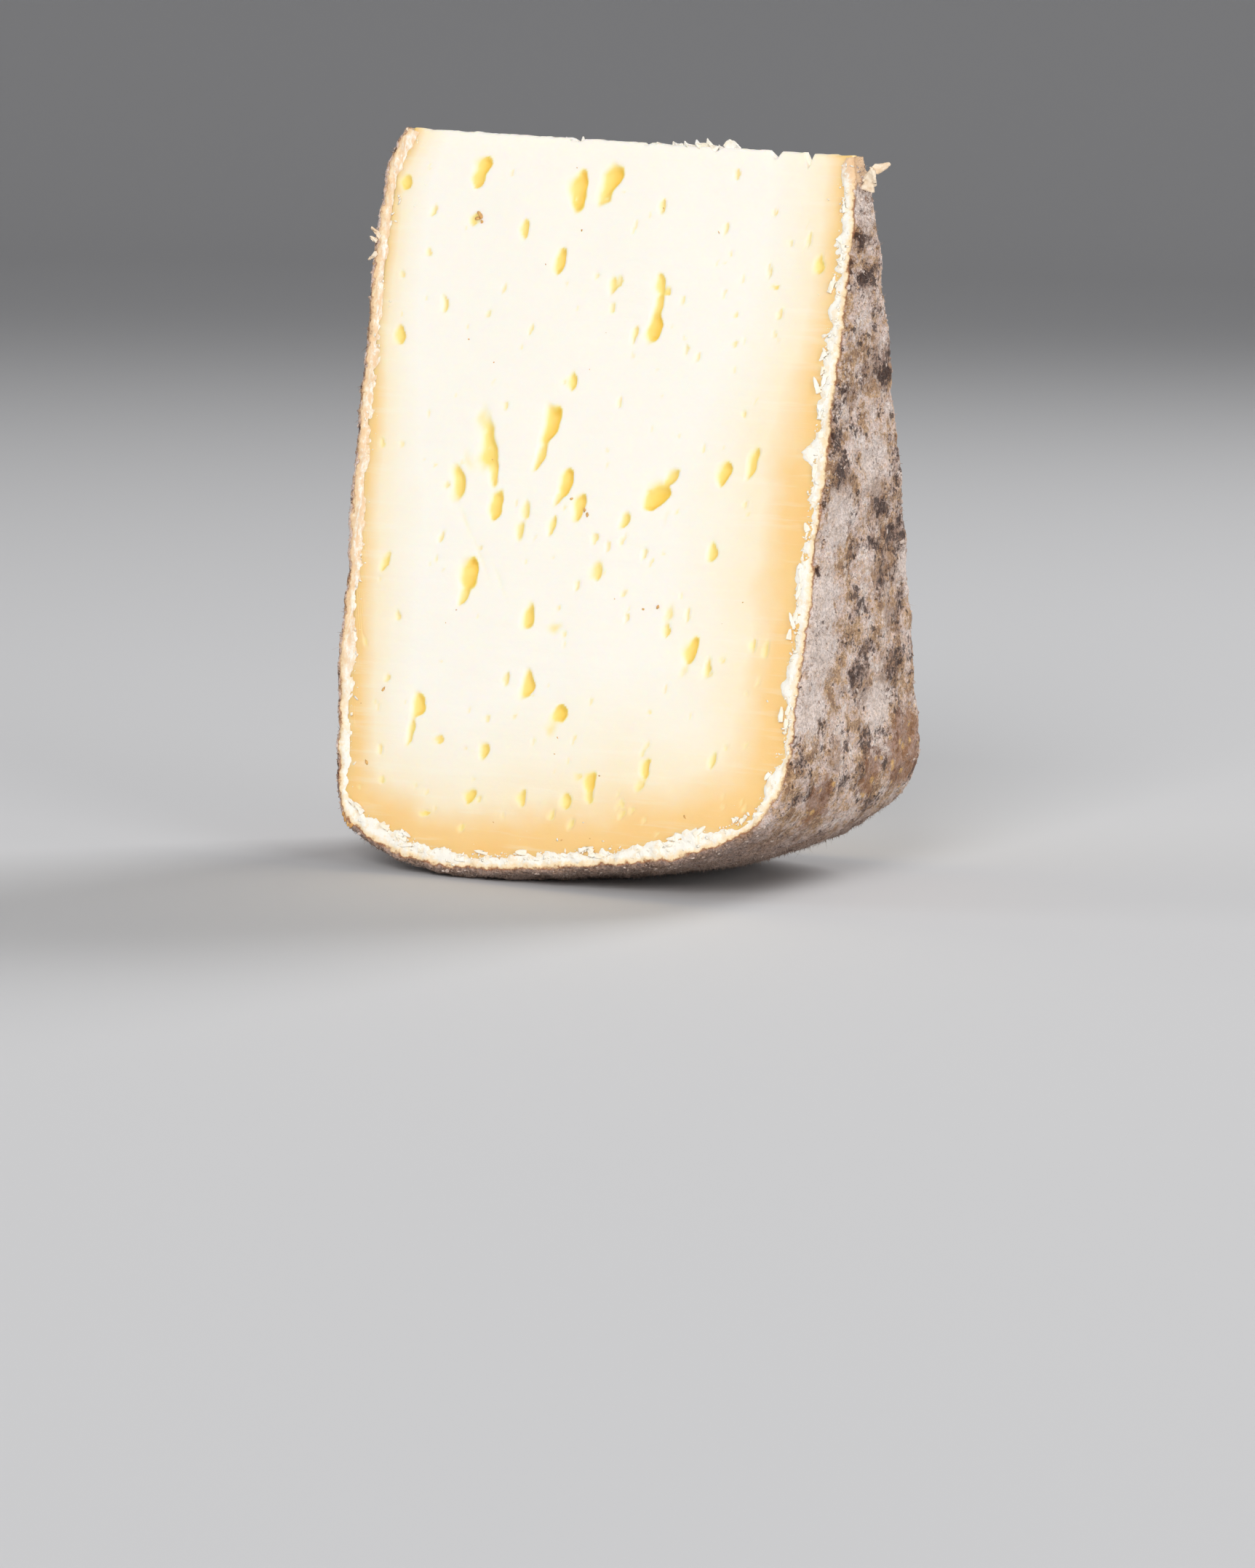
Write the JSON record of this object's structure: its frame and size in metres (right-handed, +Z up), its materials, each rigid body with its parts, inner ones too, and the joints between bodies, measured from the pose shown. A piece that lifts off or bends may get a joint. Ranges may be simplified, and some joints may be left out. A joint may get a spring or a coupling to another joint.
{
  "type": "cheese wedge",
  "caption": "Wedge of semi-hard natural-rind cheese with gas eyes in the paste, standing on its rim with the tip up.",
  "frame": {"origin": "middle of the bounding box's bottom, on the surface that the wedge stands on", "axes": "+Z up, from the rim to the tip; +X along the axis of the wheel that the wedge was cut from; the shown cut face looks to -Y"},
  "size_m": [0.0762, 0.0482, 0.1006],
  "materials": {
    "cheese": "ivory cut paste, amber towards the rind, with a rough grey-brown mould rind"
  },
  "bodies": {
    "root": {"cheese_wedge": "cheese"}
  },
  "joints": []
}
